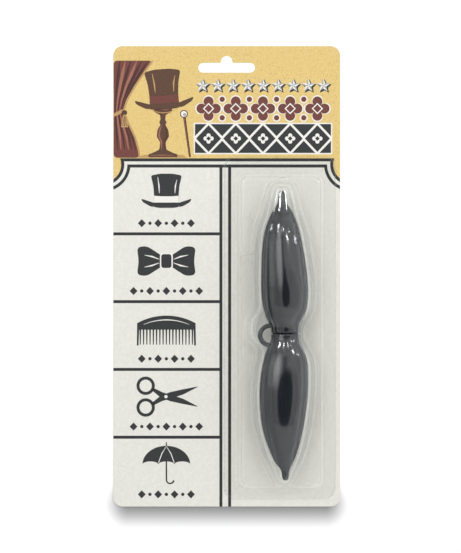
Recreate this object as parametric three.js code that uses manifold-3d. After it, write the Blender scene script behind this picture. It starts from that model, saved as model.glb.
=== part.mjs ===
// A bendable fake moustache in its shop pack: two vinyl lobes and a nose loop lie in a clear formed
// blister on a hang card. Lengths are in millimetres. The card lies on its back at z = 0 with its middle
// at the origin, +Y points to the hang slot and +Z points out of the card's printed face.

import * as THREE from 'three';
import { mergeVertices } from 'three/addons/utils/BufferGeometryUtils.js';
import Module from 'manifold-3d';

const wasm = await Module();
wasm.setup();

// Moustache
const upperLobeLength = 79.8;
const upperLobeWidth = 26.8;
const lowerLobeLength = 82.2;
const lowerLobeWidth = 27.7;
const lobeDepth = 20;
const waistWidth = 16.5;
const waistDepth = 13;
const nubWidth = 4.2;
const creaseWidth = 1.2;
const creaseDepth = 0.7;

// Nose loop: an open loop of round vinyl whose two legs go into the lobes beside the waist
const loopThickness = 2.7;
const loopGapWidth = 4.5;
const loopGapHeight = 8.3;
const loopDrop = 1.1; // middle of the loop below the crease, towards the lower lobe
const loopSeatDepth = 2.6; // how far a leg reaches past the waist's side
const socketClearance = 0.3;

// Clear film
const filmThickness = 0.4;
const restGap = 0.3; // between the card and the moustache that lies on it
const sideClearance = 4.8;
const waistClearance = 2.4;
const waistClearanceReach = 16; // along the moustache, how far the narrow clearance fades out
const headroom = 1;
const upperPocketEnd = { clearance: 5.7, width: 12.6 }; // past the tip, and across the pocket's end
const lowerPocketEnd = { clearance: 3.2, width: 7 };
const pocketEndRound = 3.5; // along the moustache, the run of the ends' round corners
const bulgeClearance = 7.2; // left of the nose loop
const bulgeFlat = 4; // along the moustache, from the bulge's middle to where it starts to fade
const bulgeReach = 14; // and to where it has faded out
const bulgeRise = 2.5; // middle of the bulge above the crease
const trayHeight = 3;
const trayDraft = 2.3; // how far the tray's wall leans in from foot to top
const trayCornerRadius = 5;
const trayMargin = { left: 3.6, right: 3.6, top: 4, bottom: 1.5 };
const flangeWidth = { left: 8.4, right: 7, top: 10, bottom: 6.4 };
const flangeCornerRadius = 7;

// Card
const cardWidth = 127.2;
const cardHeight = 258.3;
const cardThickness = 0.6;
const cardCornerRadius = 5.3;
const cardMargin = { right: 2.3, bottom: 3.9 }; // beside and below the blister's flange
const slotWidth = 32;
const slotHeight = 5.5;
const slotBumpRadius = 3.2;
const slotBumpFillet = 0.7;
const slotTopMargin = 5.5; // from the card's top edge to the top of the bump

// Fineness of the curved faces
const lobeSides = 28;
const lobeSteps = 2; // between two rows of its table
const pocketSteps = 1;
const loopSides = 10;
const loopSteps = 24;
const pocketArcSteps = 16;
const pocketTaperSteps = 3;
const pocketEndSteps = 5;
const cornerSteps = 4;
const trayWallSteps = 3;

// How boxy the pocket's roof and ends are: 2 is an ellipse, and more is squarer
const roofPower = 3.2;
const endPower = 2.6;
const lastTurn = 0.47 * Math.PI; // the end's round corner stops just short of closing to a point

// Sections of a lobe, from the waist to where the nub begins. along is a share of the lobe's length,
// waist and nub are the shares that those two sizes have in the section, the rest being the lobe's full
// width and depth, and lean is the section's sideways shift as a share of the lobe's width.
const upperSections = [
  { along: 0, waist: 1, nub: 0, lean: 0.011 },
  { along: 0.035, waist: 0.98, nub: 0, lean: 0.009 },
  { along: 0.06, waist: 0.88, nub: 0, lean: 0.004 },
  { along: 0.109, waist: 0.52, nub: 0, lean: -0.003 },
  { along: 0.152, waist: 0.29, nub: 0, lean: 0 },
  { along: 0.2, waist: 0.12, nub: 0, lean: -0.004 },
  { along: 0.26, waist: 0.03, nub: 0, lean: -0.006 },
  { along: 0.33, waist: 0, nub: 0, lean: -0.011 },
  { along: 0.43, waist: 0, nub: 0.04, lean: -0.022 },
  { along: 0.53, waist: 0, nub: 0.1, lean: -0.041 },
  { along: 0.62, waist: 0, nub: 0.18, lean: -0.055 },
  { along: 0.7, waist: 0, nub: 0.28, lean: -0.064 },
  { along: 0.78, waist: 0, nub: 0.44, lean: -0.066 },
  { along: 0.84, waist: 0, nub: 0.63, lean: -0.062 },
  { along: 0.88, waist: 0, nub: 0.8, lean: -0.06 },
  { along: 0.91, waist: 0, nub: 0.94, lean: -0.064 },
  { along: 0.935, waist: 0, nub: 1, lean: -0.07 },
];
const lowerSections = [
  { along: 0, waist: 1, nub: 0, lean: 0.011 },
  { along: 0.037, waist: 0.98, nub: 0, lean: 0.01 },
  { along: 0.06, waist: 0.88, nub: 0, lean: 0.008 },
  { along: 0.1, waist: 0.62, nub: 0, lean: 0.004 },
  { along: 0.15, waist: 0.37, nub: 0, lean: 0.005 },
  { along: 0.208, waist: 0.18, nub: 0, lean: 0.002 },
  { along: 0.28, waist: 0.06, nub: 0, lean: -0.012 },
  { along: 0.37, waist: 0, nub: 0, lean: -0.025 },
  { along: 0.454, waist: 0, nub: 0.02, lean: -0.034 },
  { along: 0.535, waist: 0, nub: 0.07, lean: -0.042 },
  { along: 0.618, waist: 0, nub: 0.15, lean: -0.047 },
  { along: 0.7, waist: 0, nub: 0.28, lean: -0.044 },
  { along: 0.781, waist: 0, nub: 0.45, lean: -0.034 },
  { along: 0.843, waist: 0, nub: 0.62, lean: -0.026 },
  { along: 0.89, waist: 0, nub: 0.8, lean: -0.02 },
  { along: 0.918, waist: 0, nub: 0.93, lean: -0.004 },
  { along: 0.943, waist: 0, nub: 1, lean: 0.004 },
];
// The nub's own run to its round end: run is a share of the nub's length, girth of its width
const nubSections = [
  { run: 0.35, girth: 0.96 },
  { run: 0.65, girth: 0.88 },
  { run: 0.82, girth: 0.74 },
  { run: 0.93, girth: 0.52 },
  { run: 0.98, girth: 0.3 },
  { run: 1, girth: 0.1 },
];

// The pocket leaves out the lobes' thin ends: it follows a lobe as far as this share of the nub
const pocketNubShare = 0.7;

const middleHeight = restGap + lobeDepth / 2; // of the moustache's axis above the card
const loopRadius = loopThickness / 2;
const loopReach = waistWidth / 2 + loopGapWidth + loopThickness; // left of the moustache's axis

const vinyl = new THREE.MeshStandardMaterial({ color: 0x33373a, roughness: 0.3, metalness: 0 });
const board = new THREE.MeshStandardMaterial({ color: 0xe8e6dc, roughness: 0.75, metalness: 0 });
const film = new THREE.MeshStandardMaterial({
  color: 0xf4f7f7, roughness: 0.08, metalness: 0, transparent: true, opacity: 0.25,
});

// Turns a closed three.js geometry into a solid that can be joined and cut.
function solid(geometry) {
  const bare = geometry.clone();
  bare.deleteAttribute('normal');
  bare.deleteAttribute('uv');
  const merged = mergeVertices(bare);
  return new wasm.Manifold(new wasm.Mesh({
    numProp: 3,
    vertProperties: new Float32Array(merged.attributes.position.array),
    triVerts: new Uint32Array(merged.index.array),
  }));
}

// Turns a solid back into a geometry.
function shapeOf(body) {
  const { vertProperties, triVerts } = body.getMesh();
  const geometry = new THREE.BufferGeometry();
  geometry.setAttribute('position', new THREE.BufferAttribute(vertProperties, 3));
  geometry.setIndex(new THREE.BufferAttribute(triVerts, 1));
  geometry.computeVertexNormals();
  return geometry;
}

// Joins rings of equally many points into one closed body. Seen from the last ring, each ring runs
// counter-clockwise. Both ends are closed by a fan round the ring's middle.
function loft(rings) {
  const count = rings[0].length;
  const points = rings.flat();
  const faces = [];
  for (let ring = 1; ring < rings.length; ring += 1) {
    for (let k = 0; k < count; k += 1) {
      const a = (ring - 1) * count + k;
      const b = (ring - 1) * count + ((k + 1) % count);
      faces.push(a, b, b + count, a, b + count, a + count);
    }
  }
  const close = (ring, first) => {
    const middle = new THREE.Vector3();
    ring.forEach((point) => middle.addScaledVector(point, 1 / count));
    points.push(middle);
    for (let k = 0; k < count; k += 1) {
      const a = first + k;
      const b = first + ((k + 1) % count);
      faces.push(...(first === 0 ? [b, a, points.length - 1] : [a, b, points.length - 1]));
    }
  };
  close(rings[0], 0);
  close(rings.at(-1), (rings.length - 1) * count);
  const geometry = new THREE.BufferGeometry().setFromPoints(points);
  geometry.setIndex(faces);
  geometry.computeVertexNormals();
  return geometry;
}

// A lobe's sections as { along, half, depth, lean } in millimetres, from the waist to the nub's start.
function lobeSections(rows, length, width, stepsPerRow) {
  const mix = (row, waist, full, nub) => row.waist * waist + (1 - row.waist - row.nub) * full + row.nub * nub;
  const smooth = (points) => new THREE.CatmullRomCurve3(points, false, 'catmullrom');
  const sides = smooth(rows.map((row) => new THREE.Vector3(
    row.along * length, mix(row, waistWidth, width, nubWidth) / 2, row.lean * width,
  )));
  const depths = smooth(rows.map((row) => new THREE.Vector3(
    row.along * length, mix(row, waistDepth, lobeDepth, nubWidth) / 2, 0,
  )));
  const steps = (rows.length - 1) * stepsPerRow;
  return Array.from({ length: steps + 1 }, (_, k) => {
    const side = sides.getPoint(k / steps);
    return { along: side.x, half: side.y, depth: depths.getPoint(k / steps).y, lean: side.z };
  });
}

// A lobe lofted along +Z from the crease to its round tip, before it is turned to lie along the card.
function lobeShape(rows, length, width) {
  const body = lobeSections(rows, length, width, lobeSteps);
  const root = body[0];
  const end = body.at(-1);
  const nub = nubSections.map((row) => ({
    along: end.along + row.run * (length - end.along),
    half: end.half * row.girth,
    depth: end.depth * row.girth,
    lean: end.lean,
  }));
  const crease = { ...root, half: root.half - creaseDepth, depth: root.depth - creaseDepth };
  const sections = [crease, { ...root, along: creaseWidth / 2 }, ...body.slice(1), ...nub];
  return loft(sections.map(({ along, half, depth, lean }) => Array.from({ length: lobeSides }, (_, k) => {
    const angle = (k / lobeSides) * 2 * Math.PI;
    return new THREE.Vector3(lean + half * Math.cos(angle), depth * Math.sin(angle), along);
  })));
}

// The loop's middle line: a leg, half a circle out to the left, and the other leg.
class LoopLine extends THREE.Curve {
  constructor(seat) {
    super();
    this.radius = loopGapHeight / 2 + loopRadius;
    this.bendX = this.radius + loopRadius - loopReach;
    this.leg = seat - waistWidth / 2 - this.bendX;
    this.bend = Math.PI * this.radius;
  }

  getPoint(t, target = new THREE.Vector3()) {
    const run = t * (2 * this.leg + this.bend);
    const turn = THREE.MathUtils.clamp((run - this.leg) / this.bend, 0, 1) * Math.PI;
    const back = Math.max(0, run - this.leg - this.bend);
    const x = this.bendX - this.radius * Math.sin(turn) + Math.max(0, this.leg - run) + back;
    return target.set(x, this.radius * Math.cos(turn), 0);
  }
}

function loopShape(radius, seat) {
  const section = new THREE.Shape(Array.from({ length: loopSides }, (_, k) => {
    const angle = (k / loopSides) * 2 * Math.PI;
    return new THREE.Vector2(radius * Math.cos(angle), radius * Math.sin(angle));
  }));
  return new THREE.ExtrudeGeometry(section, { steps: loopSteps, extrudePath: new LoopLine(seat) })
    .translate(0, -loopDrop, middleHeight);
}

// A value that is 1 up to a flat distance from the middle and fades smoothly to 0 at the reach.
function fade(distance, flat, reach) {
  return 1 - THREE.MathUtils.smoothstep(Math.abs(distance), flat, reach);
}

// The stations past the last one that follows a lobe: a straight taper, then the end's round corner.
function pocketEnd(last, lobeTip, { clearance, width }, inset) {
  const { lerp } = THREE.MathUtils;
  const towards = Math.sign(lobeTip);
  const tip = lobeTip + towards * (clearance - inset);
  const corner = tip - towards * pocketEndRound;
  const tapered = (share) => ({
    ...last,
    run: lerp(last.run, tip, share),
    left: lerp(last.left, width / 2 - inset, share),
    right: lerp(last.right, width / 2 - inset, share),
    roof: lerp(last.roof, middleHeight + nubWidth / 2 + headroom + filmThickness - inset, share),
  });
  const cornerShare = (corner - last.run) / (tip - last.run);
  const steps = (count) => Array.from({ length: count }, (_, k) => (k + 1) / count);
  const taper = steps(pocketTaperSteps).map((share) => tapered(share * cornerShare));
  const round = steps(pocketEndSteps).map((share) => {
    const turn = Math.sin(share * lastTurn);
    const size = (1 - turn ** endPower) ** (1 / endPower);
    const station = tapered(lerp(cornerShare, 1, turn));
    return { ...station, left: station.left * size, right: station.right * size, roof: station.roof * size };
  });
  return [...taper, ...round];
}

// The pocket's sections, from its upper end to its lower end, drawn in by inset from the film's outside.
// run is measured from the crease towards the lower lobe.
function pocketStations(inset) {
  const thick = (row) => row.nub < pocketNubShare;
  const upper = lobeSections(upperSections.filter(thick), upperLobeLength, upperLobeWidth, pocketSteps);
  const lower = lobeSections(lowerSections.filter(thick), lowerLobeLength, lowerLobeWidth, pocketSteps);
  const sections = [
    ...upper.slice(1).reverse().map((section) => ({ ...section, run: -section.along })),
    ...lower.map((section) => ({ ...section, run: section.along })),
  ];
  const stations = sections.map((section, k) => {
    const before = sections[Math.max(k - 1, 0)];
    const after = sections[Math.min(k + 1, sections.length - 1)];
    const slope = Math.min(1, Math.abs((after.half - before.half) / (after.run - before.run)));
    const near = fade(section.run, 0, waistClearanceReach);
    const clear = sideClearance + (waistClearance - sideClearance) * near - inset;
    const side = section.half + clear * Math.hypot(1, slope);
    const bulge = Math.max(0, loopReach + bulgeClearance - inset - side);
    return {
      run: section.run,
      left: side + bulge * fade(section.run + bulgeRise, bulgeFlat, bulgeReach),
      right: side,
      lean: section.lean,
      roof: middleHeight + section.depth + headroom + filmThickness - inset,
    };
  });
  return [
    ...pocketEnd(stations[0], -upperLobeLength, upperPocketEnd, inset).reverse(),
    ...stations,
    ...pocketEnd(stations.at(-1), lowerLobeLength, lowerPocketEnd, inset),
  ];
}

// The pocket as a closed body that stands on the height base.
function pocketShape(inset, base) {
  const bent = (value) => Math.sign(value) * Math.abs(value) ** (2 / roofPower);
  const rings = pocketStations(inset).map(({ run, left, right, lean, roof }) => {
    const arc = Array.from({ length: pocketArcSteps + 1 }, (_, k) => {
      const angle = (k / pocketArcSteps) * Math.PI;
      const across = k === 0 || k === pocketArcSteps ? Math.sign(Math.cos(angle)) : bent(Math.cos(angle));
      const side = across > 0 ? right : left;
      return new THREE.Vector3(lean + across * side, roof * bent(Math.sin(angle)), run);
    });
    return [new THREE.Vector3(lean + right, base, run), ...arc, new THREE.Vector3(lean - left, base, run)];
  });
  return loft(rings).rotateX(Math.PI / 2);
}

const stations = pocketStations(0);
const pocketBox = {
  left: Math.min(...stations.map(({ lean, left }) => lean - left)),
  right: Math.max(...stations.map(({ lean, right }) => lean + right)),
  top: -stations[0].run,
  bottom: -stations.at(-1).run,
};

// The box grown by a margin for each side.
function grown(box, margin) {
  return {
    left: box.left - margin.left,
    right: box.right + margin.right,
    top: box.top + margin.top,
    bottom: box.bottom - margin.bottom,
  };
}

const trayBox = grown(pocketBox, trayMargin);
const flangeBox = grown(trayBox, flangeWidth);
const cardRight = flangeBox.right + cardMargin.right;
const cardBottom = flangeBox.bottom - cardMargin.bottom;

// A box with rounded corners, drawn in by inset.
function roundedBox(box, radius, inset = 0) {
  const corner = Math.max(radius - inset, radius / 10);
  const [left, right] = [box.left + inset, box.right - inset];
  const [bottom, top] = [box.bottom + inset, box.top - inset];
  const outline = new THREE.Shape();
  outline.absarc(right - corner, top - corner, corner, 0, Math.PI / 2);
  outline.absarc(left + corner, top - corner, corner, Math.PI / 2, Math.PI);
  outline.absarc(left + corner, bottom + corner, corner, Math.PI, 1.5 * Math.PI);
  outline.absarc(right - corner, bottom + corner, corner, 1.5 * Math.PI, 2 * Math.PI);
  outline.closePath();
  return outline;
}

// The tray as a closed body between the heights base and top, with a wall that leans in and a round edge.
function trayShape(inset, base, top) {
  const rings = Array.from({ length: trayWallSteps + 1 }, (_, k) => {
    const turn = (k / trayWallSteps) * (Math.PI / 2);
    const outline = roundedBox(trayBox, trayCornerRadius, inset + trayDraft * (1 - Math.cos(turn)));
    const height = top * Math.sin(turn);
    return outline.getPoints(cornerSteps).slice(0, -1).map(({ x, y }) => new THREE.Vector3(x, y, height));
  });
  const foot = rings[0].map(({ x, y }) => new THREE.Vector3(x, y, base));
  return loft(base < 0 ? [foot, ...rings] : rings);
}

function blisterShape() {
  const flange = new THREE.ExtrudeGeometry(roundedBox(flangeBox, flangeCornerRadius), {
    depth: filmThickness, bevelEnabled: false, curveSegments: cornerSteps,
  });
  const below = -filmThickness;
  const outside = solid(flange).add(solid(trayShape(0, 0, trayHeight))).add(solid(pocketShape(0, 0)));
  const inside = solid(trayShape(filmThickness, below, trayHeight - filmThickness))
    .add(solid(pocketShape(filmThickness, below)));
  return shapeOf(outside.subtract(inside));
}

// The hang slot: a bar with round ends and a round bump in the middle of its upper edge.
function hangSlot(top) {
  const edge = top - slotTopMargin - slotBumpRadius - slotBumpFillet;
  const end = slotHeight / 2;
  const side = slotWidth / 2 - end;
  const foot = slotBumpRadius + slotBumpFillet;
  const slot = new THREE.Path();
  slot.absarc(side, edge - end, end, -Math.PI / 2, Math.PI / 2);
  slot.absarc(foot, edge + slotBumpFillet, slotBumpFillet, -Math.PI / 2, -Math.PI, true);
  slot.absarc(0, edge + slotBumpFillet, slotBumpRadius, 0, Math.PI);
  slot.absarc(-foot, edge + slotBumpFillet, slotBumpFillet, 0, -Math.PI / 2, true);
  slot.absarc(-side, edge - end, end, Math.PI / 2, 1.5 * Math.PI);
  slot.closePath();
  return slot;
}

function cardShape() {
  const box = { left: -cardWidth / 2, right: cardWidth / 2, top: cardHeight / 2, bottom: -cardHeight / 2 };
  const outline = roundedBox(box, cardCornerRadius);
  outline.holes.push(hangSlot(box.top));
  return new THREE.ExtrudeGeometry(outline, {
    depth: cardThickness, bevelEnabled: false, curveSegments: cornerSteps,
  });
}

function node(name, geometry, material) {
  const mesh = new THREE.Mesh(geometry, material);
  mesh.name = name;
  return mesh;
}

// Lifts a lobe to the moustache's height and cuts the nose loop's socket into it.
function socketed(lobe) {
  const socket = loopShape(loopRadius + socketClearance, loopSeatDepth + socketClearance);
  return shapeOf(solid(lobe.translate(0, 0, middleHeight)).subtract(solid(socket)));
}

const upperLobe = lobeShape(upperSections, upperLobeLength, upperLobeWidth).rotateX(-Math.PI / 2);
const lowerLobe = lobeShape(lowerSections, lowerLobeLength, lowerLobeWidth).rotateX(Math.PI / 2);

// What lies on the card, placed so that the card's middle is at the origin
const pack = new THREE.Group();
pack.position.set(cardWidth / 2 - cardRight, -cardHeight / 2 - cardBottom, cardThickness);
pack.add(
  node('blister', blisterShape(), film),
  node('upper_lobe', socketed(upperLobe), vinyl),
  node('lower_lobe', socketed(lowerLobe), vinyl),
  node('nose_loop', loopShape(loopRadius, loopSeatDepth), vinyl),
);

const group = new THREE.Group();
group.add(node('card', cardShape(), board), pack);

export default group;
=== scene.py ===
import math

import bmesh
import bpy
from mathutils import Matrix, Vector
from mathutils.bvhtree import BVHTree


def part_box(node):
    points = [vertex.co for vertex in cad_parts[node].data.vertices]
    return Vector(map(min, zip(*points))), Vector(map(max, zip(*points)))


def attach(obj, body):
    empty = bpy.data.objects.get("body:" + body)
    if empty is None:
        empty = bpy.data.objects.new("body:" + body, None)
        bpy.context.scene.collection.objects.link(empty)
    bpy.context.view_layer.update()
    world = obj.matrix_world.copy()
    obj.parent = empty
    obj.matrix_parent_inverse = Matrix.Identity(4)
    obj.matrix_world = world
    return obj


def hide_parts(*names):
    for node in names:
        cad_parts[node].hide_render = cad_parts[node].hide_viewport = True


# A bendable fake moustache in its shop pack: vinyl lobes and a nose loop under a clear formed film on a
# printed hang card. Lengths are metres. Names that end in _MM, and the drawing of the print, are
# millimetres from the middle of the card.

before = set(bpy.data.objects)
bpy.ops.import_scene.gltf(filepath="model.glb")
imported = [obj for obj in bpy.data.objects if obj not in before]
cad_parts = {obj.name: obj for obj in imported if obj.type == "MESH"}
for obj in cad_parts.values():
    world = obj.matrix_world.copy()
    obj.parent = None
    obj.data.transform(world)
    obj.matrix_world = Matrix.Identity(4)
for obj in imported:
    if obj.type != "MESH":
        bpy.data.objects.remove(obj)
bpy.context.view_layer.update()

MM = 0.001
UP = Vector((0, 0, 1))

# Printed colours are given as the sRGB values that they show under the studio light, whose strength on a
# level white sheet this is
STUDIO_LIGHT = 1.265

card_low, card_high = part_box("card")
film_low, film_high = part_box("blister")
loop_low, loop_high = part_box("nose_loop")
CARD_TOP = card_high.z
PARTING_HEIGHT_MM = (loop_low.z + loop_high.z) / 2 / MM


def ink(red, green, blue):
    """A printed colour as linear albedo."""
    return tuple(((value / 255 + 0.055) / 1.055) ** 2.4 / STUDIO_LIGHT for value in (red, green, blue))


# Shader maths


class Value:
    """A socket of a node tree, whose numbers are worked out with Python's own operators."""

    def __init__(self, paint, socket):
        self.paint, self.socket = paint, socket

    def out(self, name):
        """Another output of the same node."""
        return Value(self.paint, self.socket.node.outputs[name])

    def maths(self, operation, *others):
        """A Math node on this value and the others."""
        return self.paint.maths(operation, self, *others)

    def turned(self, operation, other):
        """The same, with this value second."""
        return self.paint.maths(operation, other, self)

    def __add__(self, other):
        return self.maths("ADD", other)

    def __radd__(self, other):
        return self.turned("ADD", other)

    def __sub__(self, other):
        return self.maths("SUBTRACT", other)

    def __rsub__(self, other):
        return self.turned("SUBTRACT", other)

    def __mul__(self, other):
        return self.maths("MULTIPLY", other)

    def __rmul__(self, other):
        return self.turned("MULTIPLY", other)

    def __truediv__(self, other):
        return self.maths("DIVIDE", other)

    def __rtruediv__(self, other):
        return self.turned("DIVIDE", other)

    def __pow__(self, other):
        return self.maths("POWER", other)

    def __abs__(self):
        return self.maths("ABSOLUTE")

    def least(self, other):
        return self.maths("MINIMUM", other)

    def most(self, other):
        return self.maths("MAXIMUM", other)

    def rise(self, start, end):
        """0 below start and 1 above end, with a smooth step between them."""
        return self.paint.node(
            "ShaderNodeMapRange", {"interpolation_type": "SMOOTHSTEP"},
            {"Value": self, "From Min": start, "From Max": end},
        )

    def band(self, start, end, soft):
        """1 between start and end, and 0 outside."""
        return self.rise(start - soft, start + soft) * (1 - self.rise(end - soft, end + soft))


class Paint:
    """A node tree, and the ways in which nodes are added to it."""

    def __init__(self, owner):
        owner.use_nodes = True
        self.owner = owner
        self.tree = owner.node_tree
        self.tree.nodes.clear()

    def feed(self, socket, value):
        if isinstance(value, Value):
            self.tree.links.new(value.socket, socket)
        elif isinstance(value, tuple) and len(value) == 3 and socket.type == "RGBA":
            socket.default_value = (*value, 1)
        else:
            socket.default_value = value

    def node(self, kind, settings=None, inputs=None):
        """Adds a node, with its settings first and then its sockets, and gives its first live output."""
        node = self.tree.nodes.new(kind)
        for name, value in (settings or {}).items():
            if name == "stops":
                ramp = node.color_ramp.elements
                while len(ramp) < len(value):
                    ramp.new(1)
                for stop, (place, colour) in zip(ramp, value):
                    stop.position = place
                    stop.color = (*colour, 1)
            else:
                setattr(node, name, value)
        live = [socket for socket in node.inputs if socket.enabled]
        for name, value in (inputs or {}).items():
            self.feed(next(socket for socket in live if socket.name == name), value)
        outputs = [socket for socket in node.outputs if socket.enabled]
        return Value(self, outputs[0]) if outputs else None

    def maths(self, operation, *values):
        node = self.tree.nodes.new("ShaderNodeMath")
        node.operation = operation
        for socket, value in zip(node.inputs, values):
            self.feed(socket, value)
        return Value(self, node.outputs[0])

    def mix(self, share, first, second):
        """The first colour, with this share of the second."""
        return self.node(
            "ShaderNodeMix", {"data_type": "RGBA"}, {"Factor": share, "A": first, "B": second},
        )

    def mix_shaders(self, share, first, second):
        """The first shader, with this share of the second."""
        mixed = self.node("ShaderNodeMixShader", {}, {"Fac": share})
        for socket, shader in zip(mixed.socket.node.inputs[1:], (first, second)):
            self.feed(socket, shader)
        return mixed

    def place(self, stretch=(1, 1, 1)):
        """The point's place in millimetres."""
        at = self.node("ShaderNodeTexCoord").out("Object")
        return self.node(
            "ShaderNodeMapping", {}, {"Vector": at, "Scale": tuple(share / MM for share in stretch)},
        )

    def parts(self, vector):
        """A vector's x, y and z."""
        split = self.node("ShaderNodeSeparateXYZ", {}, {"Vector": vector})
        return split, split.out("Y"), split.out("Z")

    def noise(self, where, scale, detail=3, rough=0.5):
        return self.node(
            "ShaderNodeTexNoise", {}, {"Vector": where, "Scale": scale, "Detail": detail, "Roughness": rough},
        )

    def specks(self, where, scale, radius):
        """1 in small round specks, one for each cell of the scale."""
        distance = self.node("ShaderNodeTexVoronoi", {}, {"Vector": where, "Scale": scale})
        return 1 - distance.rise(radius * 0.6, radius)

    def bump(self, height, depth, strength=1.0):
        """A normal from a height between 0 and 1, for a relief this deep."""
        return self.node(
            "ShaderNodeBump", {}, {"Height": height, "Distance": depth, "Strength": strength},
        )

    def finish(self, shader):
        self.node("ShaderNodeOutputMaterial", {}, {"Surface": shader})
        return self.owner


def paint_for(name):
    return Paint(bpy.data.materials.new(name))


# Finishes


VINYL_TONES = (0.008, 0.0108, 0.0145), (0.0105, 0.0135, 0.0175)
DUST = (0.35, 0.35, 0.34)
VINYL_RELIEF = 0.03 * MM


def vinyl_finish():
    """Smooth charcoal vinyl: a soft gloss, faint flow streaks along it, a parting line and a little dust."""
    paint = paint_for("charcoal_vinyl")
    where = paint.place()
    _, _, height = paint.parts(where)
    along = paint.place((1, 0.06, 1))
    flow = paint.noise(along, 0.9, 4)
    cloud = paint.noise(where, 0.06, 2)
    dust = paint.specks(where, 0.19, 0.032) * paint.noise(where, 0.11).rise(0.5, 0.56)
    base = paint.mix(dust, paint.mix(cloud.rise(0.3, 0.7), *VINYL_TONES), DUST)
    parting = (1 - abs(PARTING_HEIGHT_MM - height).rise(0.05, 0.16)) * 0.6
    relief = flow * 0.16 + paint.noise(where, 0.8, 2) * 0.06 + parting
    shader = paint.node("ShaderNodeBsdfPrincipled", {}, {
        "Base Color": base,
        "Roughness": 0.075 + flow * 0.07 + dust * 0.4,
        "IOR": 1.62,
        "Normal": paint.bump(relief, VINYL_RELIEF),
    })
    return paint.finish(shader)


FILM_GLOSS = 0.006  # each face's reflection seen square on
FILM_TIGHT_GLOSS = 0.02  # and what is added where the film is tight over the upper tip
FILM_EDGE_GLOSS = 0.32  # and what a grazing look adds
FILM_PAINTED_SHADE = 0.085  # painted shade: how much the dark line painted along a bend darkens what lies under it
FILM_PAINTED_GLOW = 0.12  # painted light: how much the light line painted beside that lightens what lies under it
FILM_RELIEF = 0.06 * MM
# The tilts at which a bend gets its painted dark and light lines, and the places where the film is tight
# and where it is bruised, each as two ranges: from, to, and how soft their ends are
PAINTED_SHADE_TILTS = (0.07, 0.15, 0.03), (0.62, 0.7, 0.03)
PAINTED_GLOW_TILTS = (0.24, 0.36, 0.05), (0.8, 0.88, 0.03)
TIGHT_MM = (29.2, 36, 1), (38, 50, 3)
BRUISED_MM = (5, 19, 2), (-12, 46, 8)


def film_finish():
    """Clear formed film: Fresnel gloss over a clear sheet, with haze, handling scuffs, soft creases and
    painted shade and light at its bends.
    """
    paint = paint_for("clear_film")
    where = paint.place()
    x, y, _ = paint.parts(where)
    facing = paint.node("ShaderNodeLayerWeight").out("Facing")

    def patch(across, along):
        return x.band(*across) * y.band(*along)

    def at_tilts(shallow, steep):
        return facing.band(*shallow).most(facing.band(*steep))

    gloss = FILM_GLOSS + facing ** 4 * FILM_EDGE_GLOSS + patch(*TIGHT_MM) * FILM_TIGHT_GLOSS
    warped = paint.noise(where, 0.05, 4, 0.6)
    crease = paint.node(
        "ShaderNodeTexVoronoi", {"feature": "DISTANCE_TO_EDGE"}, {"Vector": where, "Scale": 0.055},
    )
    bruised = patch(*BRUISED_MM) * paint.noise(where, 0.07, 2).rise(0.42, 0.6)
    scuff = (1 - abs(crease + warped * 0.16 - 0.08).rise(0.002, 0.022)) * bruised
    haze = 0.003 + paint.noise(where, 0.4, 5).rise(0.62, 0.8) * 0.016
    relief = paint.noise(where, 0.25, 2) * 0.5 + scuff * 0.4
    # Painted shade: dark lines along the film's bends, by its tilt to the view, together with the scuffs' own
    # darkening
    shade = (at_tilts(*PAINTED_SHADE_TILTS) * FILM_PAINTED_SHADE).most(scuff * 0.09)
    # Painted light: light lines beside them, by tilt, as a share of matte white
    painted_glow = at_tilts(*PAINTED_GLOW_TILTS) * FILM_PAINTED_GLOW
    sheen = paint.node("ShaderNodeBsdfPrincipled", {}, {
        "Base Color": paint.mix((shade * 12).least(1), (0.93, 0.94, 0.94), (0.12, 0.13, 0.13)),
        "Metallic": 0.85 - (painted_glow * 5 + shade * 8).least(0.85),
        "Roughness": 0.055 + haze * 2 + scuff * 0.2,
        "Normal": paint.bump(relief, FILM_RELIEF),
    })
    clear = paint.node("ShaderNodeBsdfTransparent", {}, {"Color": (0.995, 0.997, 0.995)})
    return paint.finish(paint.mix_shaders(gloss + haze + shade + painted_glow, clear, sheen))


# The print: how far its panel's outline is from the card's middle, and the widths of its lines
PANEL_TOP_MM = 66.2
SCALLOP_LEFT_MM = -69.1
SCALLOP_RIGHT_MM = 69.7
SCALLOP_HEIGHT_MM = 62.7
SCALLOP_RADIUS_MM = 9.9
FRAME_LINE_MM = 1.75
FRAME_GAP_MM = 1.7
COLUMN_LEFT_MM = -4.1
COLUMN_RIGHT_MM = 0.8
COLUMN_LINE_MM = 1.7
CELLS = 5
EDGE_MM = 0.06  # how soft a printed edge is
PAPER_RELIEF = 0.02 * MM
INK_RELIEF = 0.008 * MM
BLACK_INK = ink(40, 42, 44)

CELL_TOP_MM = PANEL_TOP_MM - 2 * FRAME_LINE_MM - FRAME_GAP_MM
CELL_PITCH_MM = (CELL_TOP_MM - card_low.y / MM) / CELLS


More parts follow.
